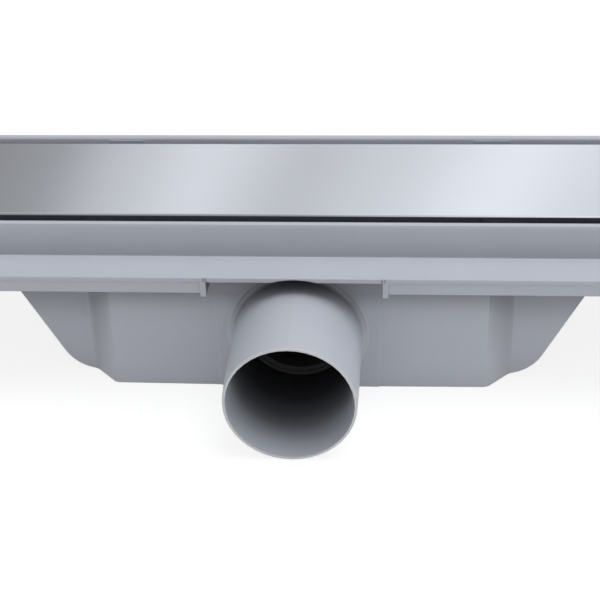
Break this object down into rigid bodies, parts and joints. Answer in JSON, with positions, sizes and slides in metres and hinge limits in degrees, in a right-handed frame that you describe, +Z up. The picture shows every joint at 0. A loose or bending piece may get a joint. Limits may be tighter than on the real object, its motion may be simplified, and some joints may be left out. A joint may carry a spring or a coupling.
{
  "type": "channel drain",
  "caption": "Linear shower drain: moulded grey trough with sealing flange, wide sump, horizontal outlet spigot, removable trap and polished steel cover.",
  "frame": {"origin": "plan centre of the trough, on the plane of the sump's flat underside", "axes": "+X along the channel, -Y out of the outlet spigot, +Z up"},
  "size_m": [0.632, 0.1488, 0.0708],
  "materials": {
    "grey_polypropylene": "satin moulded",
    "polished_steel": "polished",
    "trap_plastic": "satin moulded",
    "lid_plastic": "satin moulded",
    "seal_rubber": "matte"
  },
  "bodies": {
    "root": {"channel_body": "grey_polypropylene", "cover_plate": "polished_steel", "trap_housing": "trap_plastic", "trap_lid": "lid_plastic", "lid_gasket": "seal_rubber", "outlet_seal": "seal_rubber", "lock_wedge": "lid_plastic", "strainer_right": "lid_plastic", "strainer_left": "lid_plastic", "cover_bridge_1": "grey_polypropylene", "buffer_1_front": "seal_rubber", "buffer_1_back": "seal_rubber", "cover_bridge_2": "grey_polypropylene", "buffer_2_front": "seal_rubber", "buffer_2_back": "seal_rubber", "cover_bridge_3": "grey_polypropylene", "buffer_3_front": "seal_rubber", "buffer_3_back": "seal_rubber", "cover_bridge_4": "grey_polypropylene", "buffer_4_front": "seal_rubber", "buffer_4_back": "seal_rubber"}
  },
  "joints": []
}
